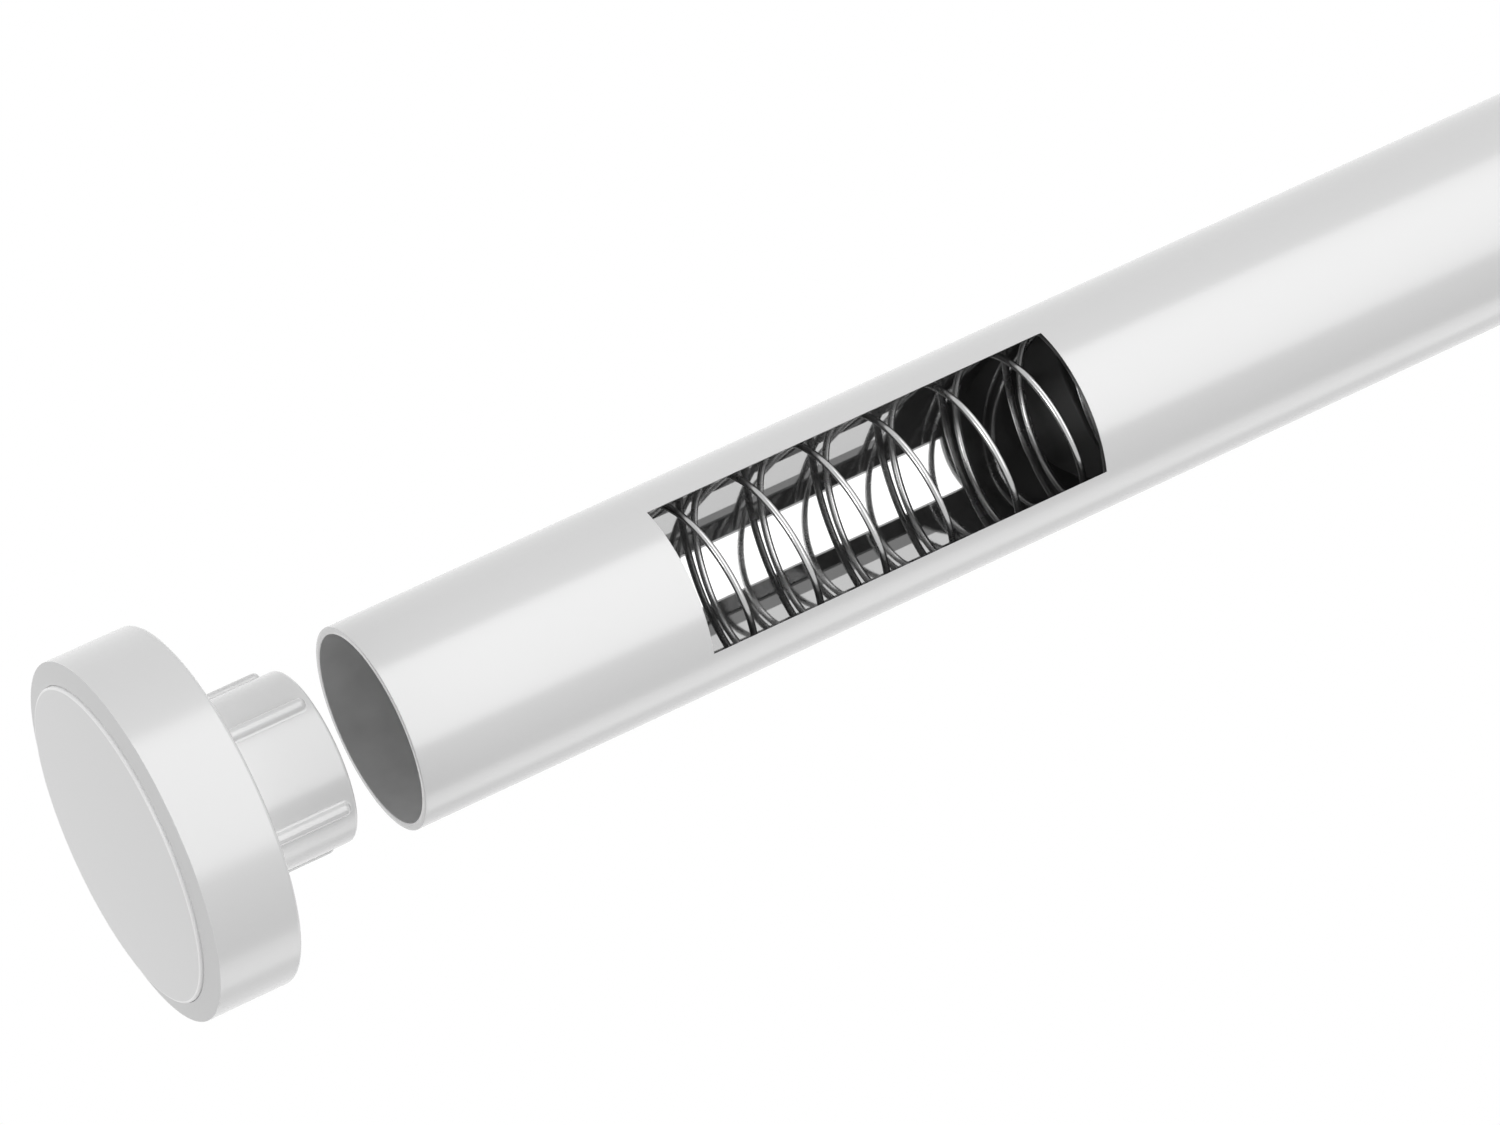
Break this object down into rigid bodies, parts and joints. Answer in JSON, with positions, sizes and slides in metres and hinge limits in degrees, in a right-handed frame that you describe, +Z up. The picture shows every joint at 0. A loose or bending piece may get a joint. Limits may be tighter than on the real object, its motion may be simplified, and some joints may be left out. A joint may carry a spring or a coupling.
{
  "type": "spring tension rod",
  "caption": "Telescopic spring tension rod with round padded end caps, one cap pulled off its ribbed plug, and a window in the wide tube that shows the coil spring.",
  "frame": {"origin": "middle of the left pad's wall face", "axes": "+X along the rod to the right cap, +Z up; the window faces the front and up, towards -Y and +Z"},
  "size_m": [0.473, 0.049, 0.049],
  "materials": {
    "end_cap_left": "semi-gloss moulded white plastic",
    "end_cap_right": "semi-gloss moulded white plastic",
    "wall_pad_left": "matt pale rubber",
    "wall_pad_right": "matt pale rubber",
    "outer_tube": "white semi-gloss powder coat outside, bright steel bore",
    "inner_tube": "white semi-gloss powder coat",
    "compression_spring": "bright plated spring wire",
    "spring_stop": "grey moulded plastic",
    "spring_slider": "black moulded plastic",
    "threaded_rod": "zinc plated steel",
    "rod_washers": "zinc plated steel",
    "rod_nuts": "zinc plated steel",
    "travelling_nut": "natural acetal",
    "tube_collar": "semi-gloss moulded white plastic",
    "swivel_bush": "natural acetal",
    "swivel_washer": "zinc plated steel",
    "swivel_screw": "zinc plated steel"
  },
  "bodies": {
    "left_cap": {"end_cap_left": "end_cap_left", "wall_pad_left": "wall_pad_left"},
    "wide_tube": {"outer_tube": "outer_tube", "spring_stop": "spring_stop", "compression_spring": "compression_spring", "tube_collar": "tube_collar"},
    "screw": {"spring_slider": "spring_slider", "threaded_rod": "threaded_rod", "rod_washers": "rod_washers", "rod_nuts": "rod_nuts"},
    "right_cap": {"end_cap_right": "end_cap_right", "wall_pad_right": "wall_pad_right", "swivel_washer": "swivel_washer", "swivel_screw": "swivel_screw"},
    "narrow_tube": {"inner_tube": "inner_tube", "travelling_nut": "travelling_nut", "swivel_bush": "swivel_bush"}
  },
  "joints": [
    {"name": "cap_push_on", "type": "slide", "parent": "left_cap", "child": "wide_tube", "axis": [1, 0, 0], "range_m": [-0.0235, 0]},
    {"name": "spring_push", "type": "slide", "parent": "wide_tube", "child": "screw", "axis": [-1, 0, 0], "range_m": [0, 0.04], "stiffness_N_per_m": 88, "deforming": ["compression_spring"]},
    {"name": "length_slide", "type": "slide", "parent": "screw", "child": "right_cap", "axis": [1, 0, 0], "range_m": [-0.0501, 0.1001]},
    {"name": "tube_turn", "type": "hinge", "parent": "right_cap", "child": "narrow_tube", "pos_m": [0.4569, 0, 0], "axis": [1, 0, 0], "range_deg": [-2250, 4500]}
  ],
  "couplings": [
    {"joint": "length_slide", "follows": "tube_turn", "m_per_rad": 0.0012732}
  ]
}
